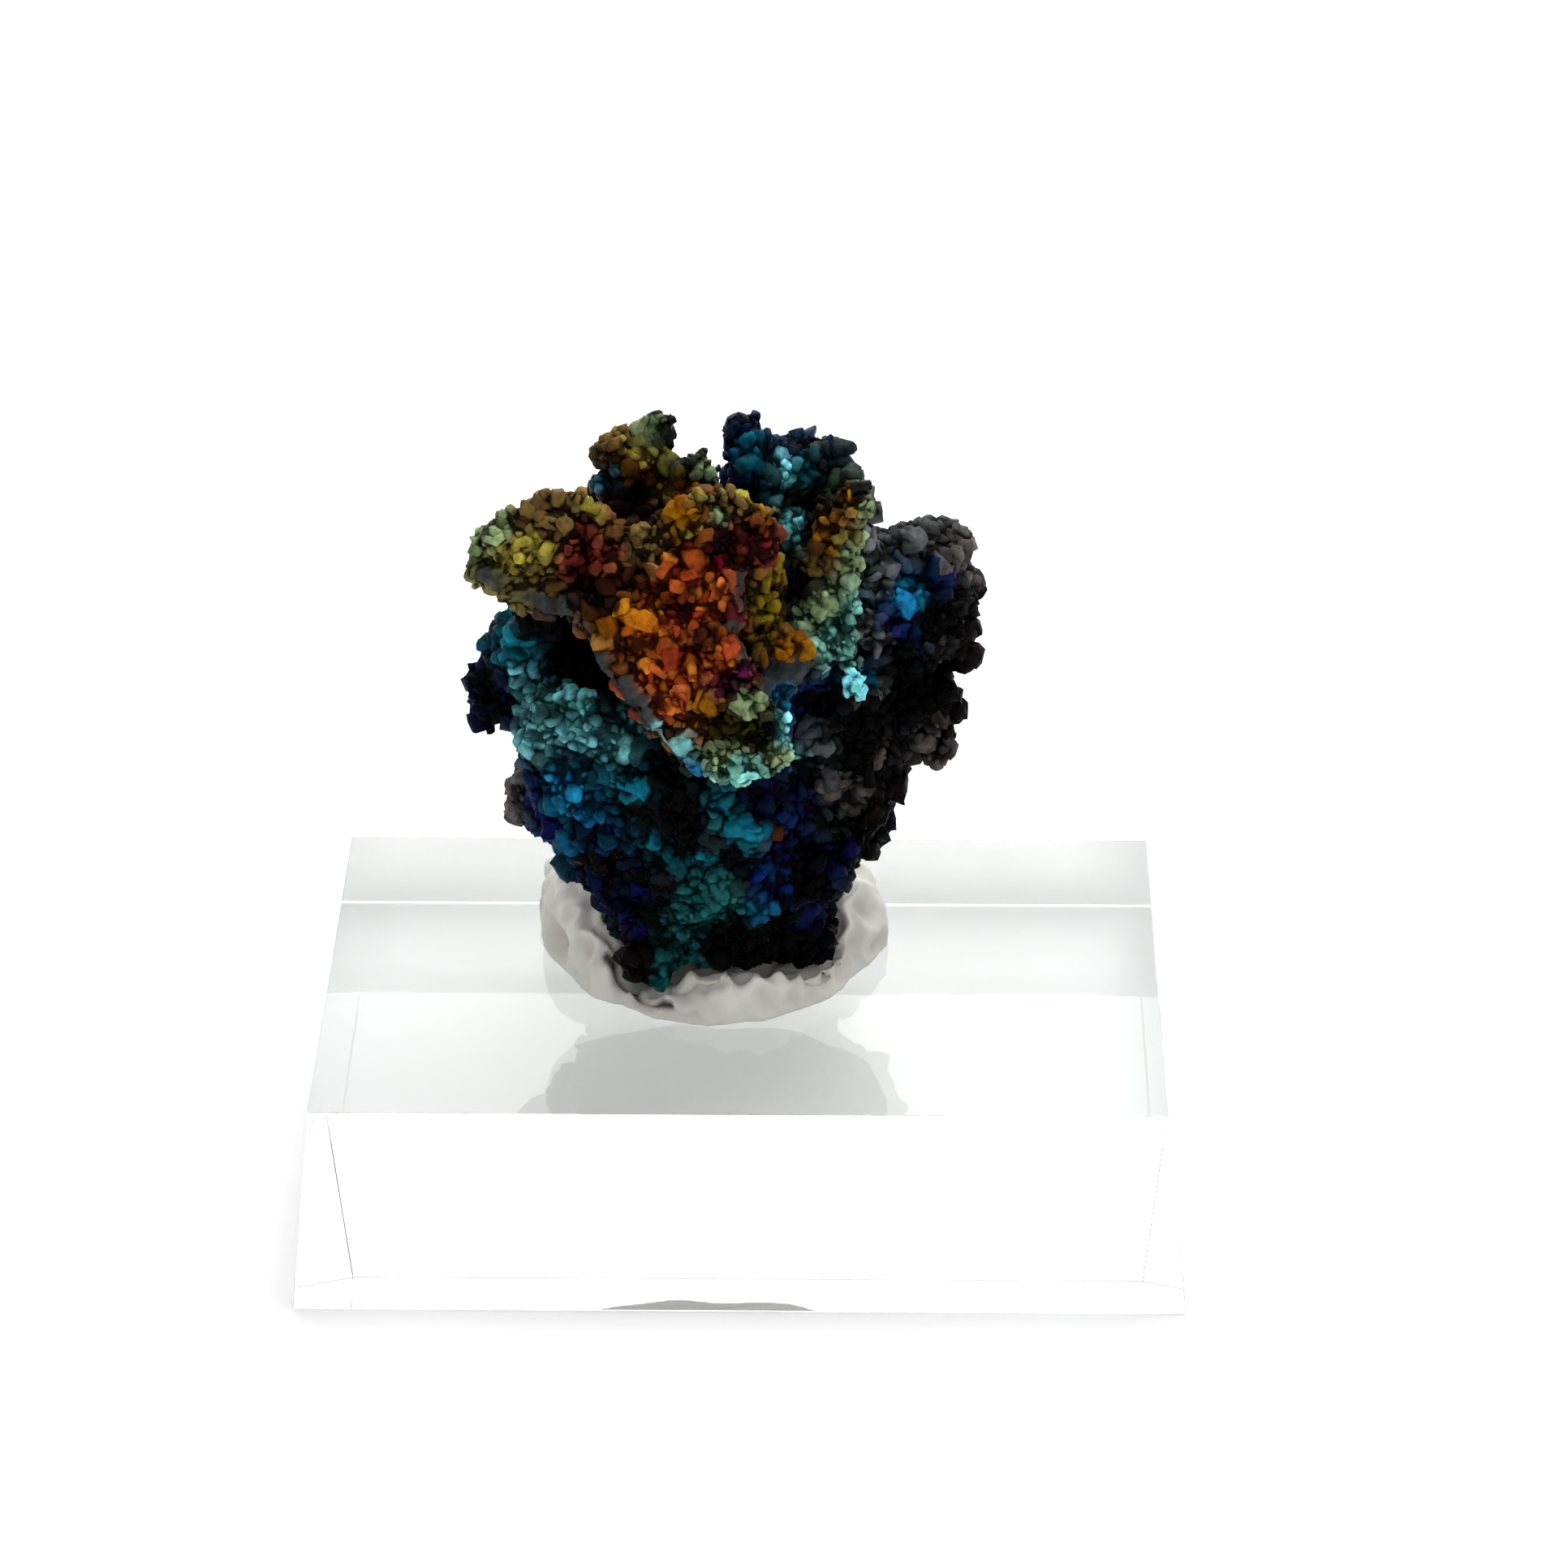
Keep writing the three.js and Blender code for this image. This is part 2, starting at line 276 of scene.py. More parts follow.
def acrylicMaterial(values):
    material, _, shader = newMaterial("acrylic")
    shader.inputs["Base Color"].default_value = (*values["colour"], 1)
    shader.inputs["Transmission Weight"].default_value = 1.0
    shader.inputs["IOR"].default_value = values["ior"]
    shader.inputs["Roughness"].default_value = values["roughness"]
    return material


# The point where three planes meet, each given as a normal and a distance
def meetingPoint(planes):
    normals = np.array([normal for normal, _ in planes])
    return np.linalg.solve(normals, np.array([distance for _, distance in planes]))


# The block's eight corners, where the planes of its large faces meet
def blockCorners(mesh, flatness):
    planes = {}
    for part in mesh.polygons:
        axis = max(range(3), key=lambda i: abs(part.normal[i]))
        side = (axis, part.normal[axis] > 0)
        if abs(part.normal[axis]) > flatness:
            plane = (part.area, tuple(part.normal), part.normal.dot(part.center))
            planes.setdefault(side, []).append(plane)
    flat = {side: max(found)[1:] for side, found in planes.items()}
    around = [(False, False), (True, False), (True, True), (False, True)]
    return [meetingPoint([flat[0, x], flat[1, y], flat[2, z]]) for z in (False, True) for x, y in around]


def makeAcrylic(values):
    obj = nodeCopy("acrylicBlock", "acrylic_block")
    corners = blockCorners(obj.data, values["flatness"])
    sides = [(i, (i + 1) % 4, (i + 1) % 4 + 4, i + 4) for i in range(4)]
    obj.data.clear_geometry()
    obj.data.from_pydata([tuple(corner) for corner in corners], [], [(3, 2, 1, 0), (4, 5, 6, 7), *sides])
    work = bmesh.new()
    work.from_mesh(obj.data)
    bmesh.ops.bevel(
        work,
        geom=list(work.edges),
        offset=values["edgeRadius"] * mm,
        segments=values["edgeSteps"],
        profile=0.5,
        affect="EDGES",
        clamp_overlap=True,
    )
    work.to_mesh(obj.data)
    work.free()
    obj.data.materials.append(acrylicMaterial(values))
    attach(obj, "root")
    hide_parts("acrylic_block")
    say("the acrylic block is made")


puttyValues = {
    "middle": (-1.5, 2.0, 0.0),  # the upright line that the skin is read round
    "turns": 180,
    "rings": 44,
    "footLift": 0.1,  # height at which the foot's edge is read
    "outside": 30.0,  # further out than any edge
    "innerReach": 0.001,
    "rimRings": 3,  # rings in which a drop is still the collar's own edge
    "socketStep": 0.35,  # a deeper drop is the socket
    "voxel": 0.16,
    "smoothing": 4,
    "foldHeight": 0.6,
    "foldSize": 1.9,
    "foldSeed": 4.0,
    "foldStretch": (1.0, 1.0, 0.55),
    "foldSharpness": 2.2,
    "foldLevel": 0.8,  # ridges above this stand out, and the rest is hollow
    "bulge": 0.3,  # the furthest that a fold stands out
    "grainHeight": 0.05,
    "grainSize": 0.45,
    "grainSeed": 6.0,
    "footHeight": 0.6,  # folds fade out below this
    "sink": 0.02,  # how far the foot goes into the block
    "colour": (0.84, 0.83, 0.775),
    "cloudScale": 420.0,
    "cloudDetail": 4.0,
    "cloudRange": (0.35, 0.65),
    "cloudDark": 0.86,
    # painted shade for the hollows of the folds
    "hollowShadeColour": (0.69, 0.67, 0.61),
    "hollowShadeGain": 1.6,
    "crackLine": [
        (-6.0, -1.9, 12.0),
        (-5.5, -2.2, 11.3),
        (-4.9, -2.6, 10.8),
        (-4.2, -3.5, 10.8),
        (-3.3, -4.1, 10.8),
    ],
    "crackWidth": 0.22,
    "crackReach": 1.6,  # in crack widths
    "crackDepth": 0.25,
    # painted shadow in the crack, the gap between putty and stone
    "crackShadowColour": (0.05, 0.022, 0.02),
    "roughness": 0.55,
    "softness": 0.25,
    "softReach": (1.2, 1.0, 0.8),
}


# White putty, a little darker in clouds, with painted shade in the hollows of its folds and a painted shadow
# in the crack
def puttyMaterial(values):
    material, tree, shader = newMaterial("putty")
    place = addNode(tree, "ShaderNodeTexCoord").outputs["Object"]
    cloud = cloudNode(tree, place, values["cloudScale"], values["cloudDetail"])
    ramp = addNode(tree, "ShaderNodeValToRGB", {"Fac": cloud})
    levels = (values["cloudDark"], 1.0)
    for element, position, level in zip(ramp.color_ramp.elements, values["cloudRange"], levels):
        element.position = position
        element.color = (*[part * level for part in values["colour"]], 1)
    # painted shade in the hollows of the folds
    hollowShade = attributeNode(tree, "hollowShade")
    hollowShaded = mixNode(tree, hollowShade, ramp.outputs["Color"], (*values["hollowShadeColour"], 1))
    # painted shadow in the crack
    stained = mixNode(tree, attributeNode(tree, "crackAndShadow"), hollowShaded, (*values["crackShadowColour"], 1))
    tree.links.new(stained, shader.inputs["Base Color"])
    shader.inputs["Roughness"].default_value = values["roughness"]
    shader.inputs["Subsurface Weight"].default_value = values["softness"]
    shader.inputs["Subsurface Radius"].default_value = Vector(values["softReach"]) * mm
    return material


# The putty's outside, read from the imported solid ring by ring. Where the solid has its socket, the skin
# goes on level, into the stone.
def puttySkin(values):
    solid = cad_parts["putty"].data
    tree = BVHTree.FromPolygons([v.co for v in solid.vertices], [p.vertices for p in solid.polygons])
    low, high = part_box("putty")
    middle = Vector(values["middle"]) * mm
    turns, rings = values["turns"], values["rings"]
    points, faces = [], []
    for turn in range(turns):
        angle = 2 * math.pi * turn / turns
        out = Vector((math.cos(angle), math.sin(angle), 0))
        foot = Vector((middle.x, middle.y, low.z + values["footLift"] * mm))
        edge = tree.ray_cast(foot + out * values["outside"] * mm, -out)[0]
        reach = (edge - foot).length
        height = 0.0
        held = False
        points.append((edge.x, edge.y, low.z - values["sink"] * mm))
        for ring in range(rings):
            spot = foot + out * reach * (1 - (1 - values["innerReach"]) * ring / rings)
            top = tree.ray_cast(Vector((spot.x, spot.y, high.z + mm)), Vector((0, 0, -1)))[0]
            rise = top.z - low.z if top else 0.0
            if rise < height - values["socketStep"] * mm and ring > values["rimRings"]:
                held = True
            if not held:
                height = rise
            points.append((spot.x, spot.y, low.z + height))
    loop = rings + 1
    for turn in range(turns):
        here, there = turn * loop, (turn + 1) % turns * loop
        for ring in range(rings):
            faces.append((here + ring, there + ring, there + ring + 1, here + ring + 1))
    faces.append([turn * loop + rings for turn in range(turns)])
    faces.append([turn * loop for turn in reversed(range(turns))])
    mesh = bpy.data.meshes.new("puttyCollar")
    mesh.from_pydata(points, [], faces)
    return mesh


def lineDistance(points, start, end):
    first, last = np.array(start) * mm, np.array(end) * mm
    along = np.clip((points - first) @ (last - first) / ((last - first) @ (last - first)), 0, 1)
    return np.linalg.norm(points - first - along[:, None] * (last - first), axis=1)


def makePutty(values):
    obj = link("puttyCollar", puttySkin(values))
    mesh = remesh(obj, values["voxel"], values["smoothing"])
    points = readPoints(mesh)
    normals = readNormals(mesh)
    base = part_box("putty")[0].z
    stretched = points * np.array(values["foldStretch"])
    folds = noiseField(stretched, values["foldSize"], values["foldSeed"], 2)
    ridges = 1.0 - np.abs(folds) * values["foldSharpness"]
    grain = noiseField(points, values["grainSize"], values["grainSeed"], 2)
    above = np.clip((points[:, 2] - base) / (values["footHeight"] * mm), 0, 1)
    height = (ridges - values["foldLevel"]) * values["foldHeight"] + grain * values["grainHeight"]
    line = values["crackLine"]
    away = np.min([lineDistance(points, start, end) for start, end in zip(line, line[1:])], axis=0)
    # the crack is a real groove, and the same mask paints the shadow in it
    crackAndShadow = np.clip(values["crackReach"] - away / (values["crackWidth"] * mm), 0, 1)
    height -= crackAndShadow * values["crackDepth"]
    points = points + normals * (np.minimum(height, values["bulge"]) * above * mm)[:, None]
    points[:, 2] = np.maximum(points[:, 2], base - values["sink"] * mm)
    writePoints(mesh, points)
    # painted shade, by how deep each point lies in a fold's hollow
    storeValues(mesh, "hollowShade", np.clip(-height * values["hollowShadeGain"], 0, 1) * above)
    storeValues(mesh, "crackAndShadow", crackAndShadow)
    smoothFaces(mesh)
    mesh.materials.append(puttyMaterial(values))
    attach(obj, "root")
    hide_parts("putty")
    say(f"the putty has {len(mesh.polygons)} faces")


# The finishes that the surface takes: its colour, and the nodules that grow there
tints = {
    "sage": ((0.172, 0.233, 0.114), "fineNodules"),
    "olive": ((0.184, 0.146, 0.0196), "fineNodules"),
    "lemon": ((0.139, 0.091, 0.0043), "blockyNodules"),
    "bronze": ((0.111, 0.068, 0.0183), "fineNodules"),
    "moss": ((0.0185, 0.0151, 0.0001), "fineNodules"),
    "gold": ((0.164, 0.055, 0.0001), "blockyNodules"),
    "amber": ((0.301, 0.079, 0.0035), "blockyNodules"),
    "orange": ((0.369, 0.077, 0.0116), "blockyNodules"),
    "ember": ((0.094, 0.0038, 0.0014), "blockyNodules"),
    "maroon": ((0.113, 0.0164, 0.0099), "blockyNodules"),
    "rust": ((0.0082, 0.0001, 0.0001), "blockyNodules"),
    "magenta": ((0.070, 0.0045, 0.038), "blockyNodules"),
    "mint": ((0.158, 0.457, 0.389), "fineNodules"),
    "cyan": ((0.240, 0.820, 0.880), "fineNodules"),
    "aqua": ((0.104, 0.342, 0.359), "roundNodules"),
    "teal": ((0.0020, 0.099, 0.134), "roundNodules"),
    "azure": ((0.0051, 0.136, 0.261), "roundNodules"),
    "jade": ((0.0070, 0.074, 0.073), "grainNodules"),
    "blue": ((0.0006, 0.0122, 0.072), "roughNodules"),
    "navy": ((0.0010, 0.0037, 0.029), "roughNodules"),
    "slate": ((0.0086, 0.0131, 0.0149), "roughNodules"),
    "ash": ((0.075, 0.084, 0.084), "roughNodules"),
    "dun": ((0.062, 0.055, 0.051), "roughNodules"),
    "umber": ((0.0018, 0.0007, 0.0005), "darkNodules"),
    # near black: painted shade of the stone's deep pits and recesses
    "pitShade": ((0.0001, 0.0001, 0.0001), "darkNodules"),
    "rose": ((0.026, 0.0054, 0.0019), "roundNodules"),
    "broken": ((0.026, 0.030, 0.031), "smooth"),
}

# Where each finish lies, in mm: its middle and reach
zones = [
    ("sage", (-10.3, -3.2, 34.9), 1.2),
    ("olive", (-9.3, -3.7, 34.0), 1.3),
    ("bronze", (-9.1, -3.2, 35.3), 0.9),
    ("bronze", (-7.7, -3.5, 35.6), 1.2),
    ("bronze", (-8.5, -4.1, 33.3), 0.8),
    ("olive", (-6.4, -3.4, 35.9), 0.7),
    ("bronze", (-5.6, -3.6, 35.4), 0.8),
    ("bronze", (-6.0, -2.0, 35.8), 0.6),
    ("maroon", (-6.3, -4.1, 34.2), 1.4),
    ("rust", (-6.5, -4.8, 32.8), 1.2),
    ("umber", (-5.7, -5.0, 32.0), 0.8),
    ("rust", (-4.8, -4.7, 32.8), 0.8),
    ("bronze", (-3.9, -4.1, 34.5), 1.1),
    ("rust", (-3.1, -4.1, 34.3), 0.6),
    ("olive", (-2.0, -3.9, 35.1), 0.6),
    ("gold", (-5.9, -5.2, 31.2), 0.9),
    ("amber", (-4.3, -5.6, 31.0), 1.5),
    ("amber", (-3.5, -5.1, 32.3), 0.9),
    ("orange", (-2.2, -4.5, 33.5), 1.2),
    ("amber", (-2.4, -4.3, 34.2), 0.6),
    ("ember", (-0.8, -4.2, 34.1), 1.2),
    ("maroon", (0.6, -4.0, 34.3), 1.3),
    ("ember", (-2.3, -5.1, 32.2), 1.0),
    ("orange", (-1.2, -5.0, 32.2), 1.1),
    ("ember", (-0.4, -5.2, 32.0), 0.6),
    ("orange", (-2.3, -5.5, 30.9), 0.8),
    ("rust", (-1.2, -5.7, 30.8), 1.0),
    ("ember", (-2.3, -5.9, 30.1), 0.5),
    ("orange", (-0.8, -5.8, 30.1), 1.0),
    ("orange", (-2.9, -6.2, 29.3), 1.2),
    ("rust", (-3.0, -6.5, 28.7), 0.5),
    ("orange", (-2.4, -6.6, 28.4), 0.7),
    ("magenta", (-0.8, -6.3, 29.0), 0.8),
    ("magenta", (0.3, -6.0, 29.6), 0.5),
    ("gold", (-1.6, -6.8, 27.8), 1.1),
    ("amber", (-3.0, -6.8, 28.0), 0.6),
    ("gold", (1.4, -3.4, 35.4), 0.6),
    ("sage", (1.6, 1.6, 33.5), 0.6),
    ("olive", (0.6, -2.4, 36.0), 0.6),
    ("bronze", (-0.2, -3.2, 36.2), 0.6),
    ("sage", (-0.8, -3.6, 35.6), 0.5),
    ("ember", (1.4, -3.8, 34.6), 0.6),
    ("moss", (-0.2, -6.9, 27.2), 1.1),
    ("sage", (0.4, -6.4, 28.1), 0.5),
    ("moss", (0.9, -7.0, 26.5), 0.9),
    ("sage", (-0.5, -7.4, 25.8), 0.8),
    ("sage", (1.5, -7.2, 26.0), 0.8),
    ("mint", (0.3, -7.6, 24.9), 1.0),
    ("cyan", (2.5, -6.5, 26.6), 0.6),
    ("cyan", (2.3, -2.6, 22.8), 0.6),
    ("lemon", (1.4, -3.2, 31.8), 1.0),
    ("lemon", (1.5, -3.2, 30.5), 0.6),
    ("moss", (1.3, -3.5, 30.2), 0.5),
    ("pitShade", (2.7, -1.1, 30.8), 1.1),
    ("olive", (1.3, -4.2, 29.8), 0.5),
    ("gold", (2.1, -4.3, 29.9), 0.9),
    ("amber", (2.7, -4.6, 30.0), 0.7),
    ("gold", (3.4, -3.6, 29.7), 0.5),
    ("sage", (3.9, 2.0, 34.3), 0.5),
    ("gold", (4.9, -1.0, 35.1), 0.8),
    ("amber", (4.2, -1.0, 34.4), 0.6),
    ("bronze", (4.4, -0.7, 34.7), 0.7),
    ("ember", (4.1, -1.0, 33.8), 0.35),
    ("gold", (3.6, -0.9, 33.0), 0.6),
    ("bronze", (3.3, -1.0, 32.1), 0.8),
    ("sage", (5.7, -0.9, 34.8), 0.6),
    ("olive", (4.6, -1.4, 33.3), 0.5),
    ("sage", (5.2, -1.2, 32.6), 0.8),
    ("sage", (3.5, -1.4, 30.2), 1.0),
    ("mint", (4.4, -1.9, 29.6), 0.9),
    ("mint", (4.8, -2.4, 28.0), 0.6),
    ("cyan", (5.0, -2.8, 26.8), 0.6),
    ("cyan", (2.6, 1.3, 32.9), 0.5),
    ("bronze", (-5.6, 0.1, 37.5), 1.0),
    ("olive", (-4.8, -0.1, 37.3), 0.6),
    ("rust", (-5.5, -0.5, 36.5), 0.6),
    ("gold", (-4.3, -0.5, 35.8), 0.6),
    ("sage", (-3.7, 0.1, 38.3), 0.9),
    ("sage", (-3.4, 0.5, 39.1), 0.8),
    ("bronze", (-5.2, 0.3, 38.2), 0.7),
    ("slate", (-2.6, 0.2, 37.2), 1.1),
    ("olive", (-3.3, -0.1, 36.7), 0.6),
    ("moss", (-2.2, -0.5, 36.2), 0.6),
    ("sage", (-1.2, -0.1, 36.4), 0.6),
    ("olive", (-1.7, -3.3, 36.9), 0.6),
    ("gold", (-2.6, -0.7, 35.3), 0.7),
    ("gold", (-2.3, -3.6, 35.7), 0.8),
    ("bronze", (-3.4, -0.3, 34.8), 0.7),
    ("teal", (-6.2, -0.1, 35.4), 0.7),
    ("teal", (-5.6, -0.4, 35.3), 0.6),
    ("pitShade", (-4.4, -0.6, 34.8), 0.9),
    ("pitShade", (-3.8, -2.5, 35.1), 0.7),
    ("navy", (0.2, 3.1, 36.9), 0.8),
    ("azure", (0.7, 2.5, 36.0), 0.5),
    ("teal", (0.5, 2.5, 35.2), 1.1),
    ("teal", (0.9, 2.8, 36.1), 0.5),
    ("navy", (0.5, 2.6, 34.8), 1.6),
    ("navy", (2.6, 3.1, 35.9), 0.9),
    ("slate", (3.7, 2.7, 35.7), 0.8),
    ("teal", (2.9, 2.3, 34.9), 0.8),
    ("slate", (4.0, 2.5, 35.0), 0.6),
    ("cyan", (1.8, 2.2, 34.8), 0.9),
    ("teal", (1.4, 2.1, 33.8), 0.6),
    ("pitShade", (2.7, 1.6, 33.8), 1.1),
    ("slate", (5.4, 0.0, 35.9), 0.7),
    ("slate", (6.2, 2.3, 33.3), 0.7),
    ("ash", (7.0, 1.5, 32.2), 1.6),
    ("ash", (6.4, -0.1, 30.6), 0.7),
    ("navy", (6.7, 0.3, 31.3), 0.6),
    ("azure", (7.4, 0.7, 31.3), 0.5),
    ("azure", (7.7, 0.1, 30.0), 1.2),
    ("cyan", (7.9, 0.0, 30.3), 0.5),
    ("blue", (7.0, -0.8, 29.2), 1.0),
    ("navy", (6.5, -1.0, 28.8), 0.8),
    ("blue", (7.7, -1.0, 27.9), 0.6),
    ("pitShade", (6.8, -0.6, 27.3), 0.7),
    ("ash", (9.1, 2.6, 32.1), 0.6),
    ("dun", (9.6, 1.3, 31.4), 1.4),
    ("navy", (8.8, 0.6, 30.3), 0.8),
    ("pitShade", (9.6, 0.1, 28.9), 1.5),
    ("umber", (10.3, 1.1, 29.0), 0.7),
    ("dun", (9.0, -0.9, 28.2), 0.7),
    ("umber", (10.1, 0.5, 26.8), 0.6),
    ("pitShade", (7.6, 0.2, 24.6), 1.7),
    ("umber", (9.6, 0.0, 23.7), 0.8),
    ("ash", (8.0, -0.6, 23.6), 0.7),
    ("dun", (8.7, -0.6, 23.2), 0.8),
    ("dun", (8.0, 0.2, 21.4), 0.7),
    ("slate", (7.1, -0.5, 23.0), 0.5),
    ("dun", (6.5, -1.1, 22.5), 0.7),
    ("umber", (7.5, 0.1, 20.6), 0.8),
    ("pitShade", (5.4, -1.9, 23.6), 1.7),
    ("pitShade", (6.2, -1.8, 21.4), 1.1),
    ("ash", (4.0, -2.4, 23.9), 1.2),
    ("slate", (3.2, -2.4, 24.2), 0.5),
    ("dun", (5.5, -1.2, 24.9), 0.5),
    ("ash", (6.5, 0.1, 25.0), 0.6),
    ("azure", (5.6, -0.3, 26.1), 0.5),
    ("navy", (5.5, -0.3, 26.8), 0.5),
    ("ash", (5.8, -0.8, 28.1), 1.1),
    ("navy", (3.0, -1.8, 25.4), 1.3),
    ("azure", (3.8, -1.4, 25.8), 0.5),
    ("azure", (2.2, -4.1, 27.1), 0.5),
    ("dun", (4.9, -2.2, 20.7), 1.1),
    ("rust", (4.8, -2.2, 20.4), 0.55),
    ("umber", (5.9, -1.9, 19.1), 1.5),
    ("slate", (4.2, -2.2, 19.4), 1.1),
    ("navy", (1.8, -3.4, 21.5), 1.7),
    ("blue", (2.2, -3.4, 20.3), 0.6),
    ("navy", (3.2, -2.6, 20.1), 0.8),
    ("rose", (1.6, -3.7, 19.5), 0.5),
    ("blue", (3.3, -2.2, 18.5), 0.5),
    ("navy", (2.5, -2.8, 18.3), 0.7),
    ("pitShade", (3.5, -3.1, 17.0), 1.4),
    ("navy", (4.2, -2.7, 17.1), 1.2),
    ("slate", (4.8, -2.5, 16.7), 0.6),
    ("umber", (5.8, -1.1, 17.2), 0.9),
    ("blue", (1.6, -3.4, 16.9), 1.0),
    ("teal", (-0.7, -4.2, 21.9), 1.0),
    ("cyan", (-1.4, -4.5, 21.4), 0.5),
    ("teal", (0.3, -4.2, 20.2), 1.0),
    ("azure", (-1.6, -4.1, 22.6), 0.5),
    ("azure", (-2.1, -7.8, 25.4), 0.6),
    ("slate", (-0.9, -4.4, 19.5), 0.7),
    ("pitShade", (-0.3, -3.7, 18.3), 0.6),
    ("pitShade", (-3.0, -4.3, 21.8), 2.1),
    ("pitShade", (-2.2, -4.3, 19.2), 1.1),
    ("teal", (-10.1, -0.1, 27.4), 1.2),
    ("blue", (-10.8, -0.9, 27.2), 0.8),
    ("navy", (-11.2, -0.2, 24.8), 1.5),
    ("umber", (-12.1, -0.1, 24.7), 0.7),
    ("umber", (-11.2, 0.2, 22.8), 0.6),
    ("navy", (-8.9, -1.1, 27.6), 0.6),
    ("pitShade", (-8.8, -1.0, 28.8), 1.0),
    ("pitShade", (-7.3, 0.6, 26.9), 1.7),
    ("slate", (-7.0, -1.2, 26.3), 0.5),
    ("pitShade", (-6.0, -1.6, 25.9), 0.9),
    ("aqua", (-9.6, -0.8, 25.4), 1.1),
    ("aqua", (-9.1, -2.3, 24.3), 1.2),
    ("aqua", (-7.5, -2.5, 25.6), 1.3),
    ("pitShade", (-8.8, -2.4, 25.1), 0.5),
    ("rose", (-8.1, -3.1, 24.1), 0.3),
    ("teal", (-8.7, -3.1, 23.5), 0.5),
    ("aqua", (-5.9, -3.2, 24.3), 1.1),
    ("teal", (-6.6, -3.3, 23.0), 0.8),
    ("teal", (-4.6, -4.2, 22.0), 1.3),
    ("navy", (-7.7, -3.3, 23.0), 0.6),
    ("slate", (-9.3, -2.9, 22.9), 0.7),
    ("dun", (-10.5, -0.4, 19.9), 0.8),
    ("navy", (-9.4, -2.4, 21.7), 0.6),
    ("azure", (-7.6, -3.4, 21.0), 1.4),
    ("blue", (-9.2, -2.5, 20.3), 0.9),
    ("navy", (-9.0, -2.5, 19.5), 0.8),
    ("pitShade", (-7.6, -3.5, 20.1), 0.7),
    ("slate", (-5.7, -4.0, 21.7), 0.3),
    ("blue", (-6.1, -4.1, 19.8), 0.7),
    ("azure", (-5.3, -4.2, 20.0), 0.6),
    ("navy", (-6.7, -3.9, 19.1), 0.8),
    ("teal", (-3.9, -4.2, 19.1), 1.1),
    ("blue", (-5.0, -3.4, 18.0), 0.5),
    ("teal", (-1.8, -4.0, 18.7), 0.7),
    ("slate", (-3.9, -3.6, 16.8), 0.9),
    ("navy", (-4.6, -3.4, 16.4), 1.3),
    ("pitShade", (-6.1, -2.6, 17.4), 0.8),
    ("slate", (-4.1, -3.1, 14.3), 0.7),
    ("navy", (-5.0, -2.8, 14.3), 0.8),
    ("umber", (-4.9, -3.4, 12.7), 1.0),
    ("jade", (-1.5, -3.8, 16.2), 1.3),
    ("slate", (0.1, -3.5, 16.8), 0.5),
    ("teal", (0.3, -4.0, 15.8), 0.6),
    ("azure", (1.4, -3.8, 15.8), 0.6),
    ("jade", (-2.4, -3.0, 14.0), 1.2),
    ("jade", (-2.8, -2.8, 12.6), 1.2),
    ("teal", (-3.3, -3.4, 12.1), 0.6),
    ("pitShade", (-0.9, -3.1, 13.1), 1.1),
    ("pitShade", (1.4, -2.9, 13.3), 1.4),
    ("slate", (0.8, -3.3, 14.3), 0.3),
    ("navy", (3.2, -1.9, 13.8), 0.7),
    ("pitShade", (3.6, -2.2, 12.9), 0.7),
    ("pitShade", (2.1, -3.3, 15.1), 0.7),
    ("umber", (8.6, 5.0, 27.0), 2.4),
    ("dun", (10.0, 3.4, 30.0), 1.0),
    ("teal", (4.4, 7.4, 28.0), 1.2),
    ("navy", (5.8, 6.8, 27.2), 1.0),
    ("slate", (3.2, 7.4, 29.4), 0.9),
    ("navy", (0.4, 8.2, 27.0), 1.8),
    ("blue", (-1.2, 8.2, 28.2), 0.7),
    ("umber", (1.6, 7.8, 28.8), 0.9),
    ("teal", (-4.6, 7.6, 26.4), 1.3),
    ("azure", (-3.6, 7.8, 27.6), 0.6),
    ("pitShade", (-3.0, 7.8, 25.4), 0.9),
    ("aqua", (-5.6, 7.0, 27.8), 0.7),
    ("slate", (-5.8, 7.0, 24.8), 0.9),
    ("navy", (-6.6, 6.2, 26.4), 0.9),
    ("umber", (0.6, 7.6, 21.0), 2.4),
    ("slate", (2.6, 7.2, 22.6), 0.8),
    ("navy", (-1.6, 7.4, 22.4), 0.9),
    ("bronze", (-4.6, 2.4, 35.0), 1.4),
    ("maroon", (-3.0, 3.0, 34.2), 0.8),
    ("olive", (-5.8, 1.8, 36.0), 0.7),
    ("rust", (-5.6, 2.6, 33.6), 0.9),
    ("amber", (-6.4, -1.0, 34.6), 1.2),
    ("rust", (-6.0, 0.6, 33.0), 1.4),
    ("navy", (-8.6, 4.8, 24.0), 1.8),
    ("slate", (-8.0, 5.2, 25.8), 0.8),
    ("pitShade", (-8.8, 4.4, 22.2), 0.8),
    ("umber", (-2.0, 5.4, 16.4), 2.6),
    ("navy", (-0.4, 5.4, 18.2), 0.8),
    ("dun", (5.6, 6.2, 24.0), 1.4),
    ("ash", (6.6, 5.8, 25.0), 0.7),
    ("pitShade", (4.4, 6.6, 22.8), 0.9),
    ("olive", (1.0, 5.6, 32.0), 0.9),
    ("bronze", (0.0, 5.8, 31.0), 0.9),
    ("moss", (2.2, 5.4, 31.2), 0.9),
    ("slate", (1.8, 5.2, 33.4), 0.8),
    ("teal", (-7.0, 4.4, 19.0), 1.3),
    ("navy", (-6.2, 4.8, 20.4), 0.9),
    ("blue", (-7.6, 3.8, 17.8), 0.7),
    ("slate", (5.6, 4.4, 30.4), 1.4),
    ("umber", (6.8, 4.2, 31.2), 0.9),
    ("blue", (4.6, 5.0, 18.0), 1.1),
    ("navy", (5.4, 4.8, 19.4), 0.9),
    ("umber", (3.4, 5.2, 16.8), 0.9),
]

